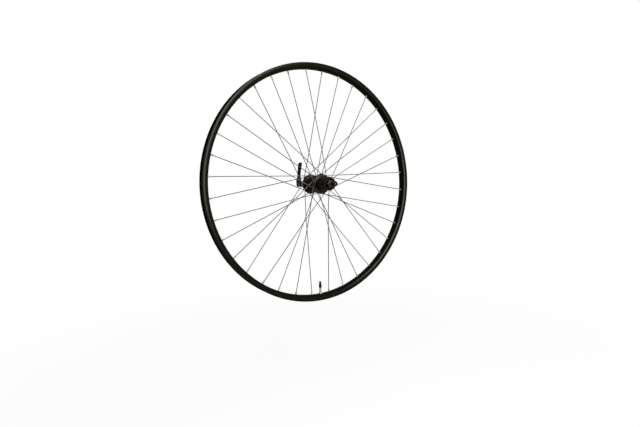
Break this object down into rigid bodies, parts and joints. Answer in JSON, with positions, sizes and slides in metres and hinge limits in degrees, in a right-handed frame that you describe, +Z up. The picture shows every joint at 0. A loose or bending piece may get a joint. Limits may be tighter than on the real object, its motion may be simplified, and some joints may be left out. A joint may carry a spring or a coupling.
{
  "type": "bicycle wheel",
  "caption": "Rear bicycle wheel without its tyre: satin black double-wall rim on crossed, laced spokes, cassette hub with a splined freehub, and a quick-release skewer.",
  "frame": {"origin": "on the axle's axis, in the mid plane of the rim", "axes": "+X forward, +Y along the axle to the left side with the quick-release lever, -Y the drive side with the freehub, +Z up; the valve is lowest, at -Z"},
  "size_m": [0.6339, 0.1911, 0.634],
  "materials": {
    "rim_black": "black anodised, satin",
    "tape_plastic": "smooth tape",
    "spoke_steel": "drawn stainless wire",
    "nipple_brass": "bare, dull",
    "hub_black": "black anodised, satin",
    "bearing_steel": "ground",
    "bearing_seal": "steel ring with a black seal",
    "axle_steel": "dark plated",
    "spacer_aluminium": "turned",
    "freehub_steel": "dark phosphated",
    "cap_plastic": "moulded black",
    "seal_rubber": "moulded",
    "skewer_steel": "zinc plated",
    "release_black": "black anodised",
    "valve_brass": "bare, dull",
    "valve_nickel": "nickel plated"
  },
  "bodies": {
    "axle": {"axle": "axle_steel", "hub_bearing_inner_rings": "bearing_steel", "freehub_bearing_inner_rings": "bearing_steel", "hub_spacer": "spacer_aluminium", "freehub_spacers": "spacer_aluminium", "left_dust_cap": "cap_plastic", "drive_dust_cap": "cap_plastic", "left_cone_nut": "axle_steel", "drive_cone_nut": "axle_steel", "lock_washer": "axle_steel", "left_spacer": "axle_steel", "lock_nuts": "axle_steel", "skewer_springs": "skewer_steel"},
    "wheel": {"rim": "rim_black", "rim_tape": "tape_plastic", "spokes_left_outer": "spoke_steel", "spokes_drive_inner": "spoke_steel", "spokes_left_inner": "spoke_steel", "spokes_drive_outer": "spoke_steel", "nipples": "nipple_brass", "hub_shell": "hub_black", "hub_bearing_outer_rings": "bearing_seal", "ratchet_ring": "bearing_steel", "valve_foot": "seal_rubber", "valve_stem": "valve_brass", "valve_lock_nut": "valve_nickel", "valve_core": "valve_brass"},
    "freehub": {"freehub_body": "freehub_steel", "freehub_bearing_outer_rings": "bearing_seal", "freehub_sleeve": "spacer_aluminium", "freehub_seal": "seal_rubber"},
    "pawl_a": {"pawl_a": "bearing_steel"},
    "pawl_b": {"pawl_b": "bearing_steel"},
    "pawl_c": {"pawl_c": "bearing_steel"},
    "skewer": {"skewer_rod": "skewer_steel", "qr_cup": "release_black", "qr_cam_pad": "cap_plastic", "qr_cross_pin": "skewer_steel"},
    "qr_lever": {"qr_lever": "release_black"},
    "qr_nut": {"qr_nut": "release_black"},
    "valve_cap": {"valve_cap": "cap_plastic"},
    "valve_pin": {"valve_pin": "valve_brass"}
  },
  "joints": [
    {"name": "wheel_spin", "type": "hinge", "parent": "axle", "child": "wheel", "pos_m": [0, 0, 0], "axis": [0, 1, 0], "continuous": true},
    {"name": "freehub_spin", "type": "hinge", "parent": "wheel", "child": "freehub", "pos_m": [0, -0.0452, 0], "axis": [0, 1, 0], "continuous": true},
    {"name": "pawl_a_fold", "type": "hinge", "parent": "freehub", "child": "pawl_a", "pos_m": [0.0028, -0.0199, -0.01002], "axis": [0, 1, 0], "range_deg": [0, 15], "stiffness_Nm_per_rad": 0.02, "springref_deg": -17.19},
    {"name": "pawl_b_fold", "type": "hinge", "parent": "freehub", "child": "pawl_b", "pos_m": [-0.01007, -0.0199, 0.00258], "axis": [0, 1, 0], "range_deg": [0, 15], "stiffness_Nm_per_rad": 0.02, "springref_deg": -17.19},
    {"name": "pawl_c_fold", "type": "hinge", "parent": "freehub", "child": "pawl_c", "pos_m": [0.00727, -0.0199, 0.00743], "axis": [0, 1, 0], "range_deg": [0, 15], "stiffness_Nm_per_rad": 0.02, "springref_deg": -17.19},
    {"name": "skewer_turn", "type": "hinge", "parent": "axle", "child": "skewer", "pos_m": [0, 0, 0], "axis": [0, 1, 0], "continuous": true},
    {"name": "lever_swing", "type": "hinge", "parent": "skewer", "child": "qr_lever", "pos_m": [0, 0.0958, 0], "axis": [-1, 0, 0], "range_deg": [0, 180]},
    {"name": "nut_turn", "type": "hinge", "parent": "skewer", "child": "qr_nut", "pos_m": [0, -0.083, 0], "axis": [0, 1, 0], "continuous": true},
    {"name": "cap_turn", "type": "hinge", "parent": "wheel", "child": "valve_cap", "pos_m": [0, 0, -0.275], "axis": [0, 0, 1], "continuous": true},
    {"name": "pin_press", "type": "slide", "parent": "wheel", "child": "valve_pin", "axis": [0, 0, -1], "range_m": [0, 0.0012], "stiffness_N_per_m": 400, "springref_m": -0.002}
  ],
  "couplings": [
    {"joint": "pawl_b_fold", "follows": "pawl_a_fold", "ratio": 1},
    {"joint": "pawl_c_fold", "follows": "pawl_a_fold", "ratio": 1}
  ]
}
